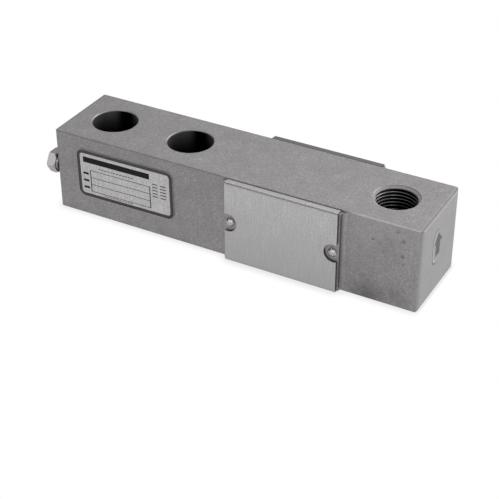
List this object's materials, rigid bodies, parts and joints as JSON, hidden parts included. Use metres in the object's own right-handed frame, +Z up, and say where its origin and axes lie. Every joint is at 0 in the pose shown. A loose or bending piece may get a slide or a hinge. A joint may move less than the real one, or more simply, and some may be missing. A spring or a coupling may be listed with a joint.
{
  "type": "cantilever beam load cell",
  "caption": "Square steel shear beam load cell with plain mounting holes, a tapped load hole, sheet covers over its gauge section and a cable gland.",
  "frame": {"origin": "centre of the beam's underside", "axes": "+X along the beam from the bolted end to the load hole, +Z up, -Y out of the side that carries the nameplate"},
  "size_m": [0.1773, 0.0456, 0.0381],
  "materials": {
    "plated_beam": "satin nickel plate over a bead-blasted steel bar",
    "cover_sheet": "fine brushed stainless sheet",
    "drive_screw_steel": "bright plated steel",
    "gland_plating": "bright nickel plate over brass",
    "nameplate_foil": "satin anodised foil with a dark printed border",
    "gasket_rubber": "matte black sheet rubber",
    "washer_fibre": "dark sealing fibre",
    "grommet_rubber": "matte black rubber",
    "gauge_film": "amber film with a foil grid",
    "board_laminate": "green glass-fibre board",
    "resistor_ceramic": "black chip with tinned ends",
    "lead_insulation": "thin wire insulation",
    "potting_silicone": "soft translucent sealing compound"
  },
  "bodies": {
    "root": {"beam_body": "plated_beam", "front_cover": "cover_sheet", "rear_cover": "cover_sheet", "front_gasket": "gasket_rubber", "rear_gasket": "gasket_rubber", "front_left_drive_screw": "drive_screw_steel", "front_right_drive_screw": "drive_screw_steel", "rear_left_drive_screw": "drive_screw_steel", "rear_right_drive_screw": "drive_screw_steel", "nameplate": "nameplate_foil", "gland_washer": "washer_fibre", "gland_body": "gland_plating", "gland_grommet": "grommet_rubber", "front_strain_gauge": "gauge_film", "rear_strain_gauge": "gauge_film", "front_terminal_board": "board_laminate", "rear_terminal_board": "board_laminate", "front_trim_resistor": "resistor_ceramic", "rear_trim_resistor": "resistor_ceramic", "bridge_leads": "lead_insulation", "front_potting": "potting_silicone", "rear_potting": "potting_silicone"}
  },
  "joints": []
}
